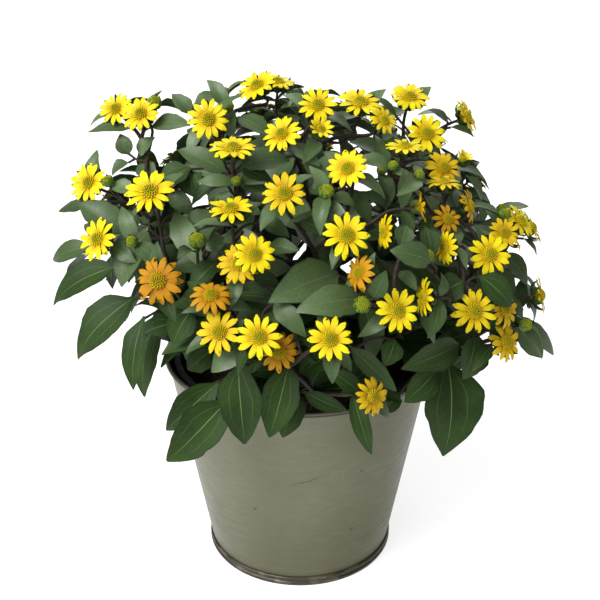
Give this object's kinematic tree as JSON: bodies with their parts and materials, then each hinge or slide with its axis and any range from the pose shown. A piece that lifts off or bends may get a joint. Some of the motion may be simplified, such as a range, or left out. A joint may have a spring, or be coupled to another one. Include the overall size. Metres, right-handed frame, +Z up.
{
  "type": "potted creeping zinnia",
  "caption": "Bushy creeping zinnia with small yellow daisy-like flowers and dark pointed leaves, growing in a tapered zinc planter.",
  "frame": {"origin": "on the ground, in the middle of the underside of the planter, under the middle of the whole plant", "axes": "+Z up along the planter's axis, -Y towards the front of the plant, +X to the right as seen from the front"},
  "size_m": [0.2282, 0.2179, 0.2391],
  "materials": {
    "zinc": "galvanised sheet, dull grey-green",
    "nursery_black": "matt black polypropylene",
    "potting_mix": "moist crumbly peat",
    "leaf": "soft satin green leaf and stem tissue",
    "petal": "matt yellow flower tissue"
  },
  "bodies": {
    "root": {"branch_back": "leaf", "branch_back_left": "leaf", "branch_back_right": "leaf", "branch_front": "leaf", "branch_front_left": "leaf", "branch_front_low": "leaf", "branch_left": "leaf", "branch_left_front": "leaf", "branch_right": "leaf", "branch_right_front": "leaf", "branch_top": "leaf", "branch_top_left": "leaf", "branch_top_right": "leaf", "flower_back_1": "petal", "flower_back_2": "petal", "flower_back_3": "petal", "flower_back_4": "petal", "flower_back_left_1": "petal", "flower_back_left_2": "petal", "flower_back_left_3": "petal", "flower_back_right_1": "petal", "flower_back_right_2": "petal", "flower_back_right_3": "petal", "flower_front_1": "petal", "flower_front_2": "petal", "flower_front_3": "petal", "flower_front_4": "petal", "flower_front_left_1": "petal", "flower_front_left_2": "petal", "flower_front_left_3": "petal", "flower_front_left_4": "petal", "flower_front_low_1": "petal", "flower_front_low_2": "petal", "flower_front_low_3": "petal", "flower_left_1": "petal", "flower_left_2": "petal", "flower_left_3": "petal", "flower_left_front_1": "petal", "flower_left_front_2": "petal", "flower_right_1": "petal", "flower_right_2": "petal", "flower_right_3": "petal", "flower_right_front_1": "petal", "flower_right_front_2": "petal", "flower_right_front_3": "petal", "flower_top_1": "petal", "flower_top_2": "petal", "flower_top_3": "petal", "flower_top_4": "petal", "flower_top_left_1": "petal", "flower_top_left_2": "petal", "flower_top_left_3": "petal", "flower_top_right_1": "petal", "flower_top_right_2": "petal", "flower_top_right_3": "petal", "flower_top_right_4": "petal", "nursery_pot": "nursery_black", "planter_base": "zinc", "planter_wall": "zinc", "potting_mix": "potting_mix"}
  },
  "joints": []
}
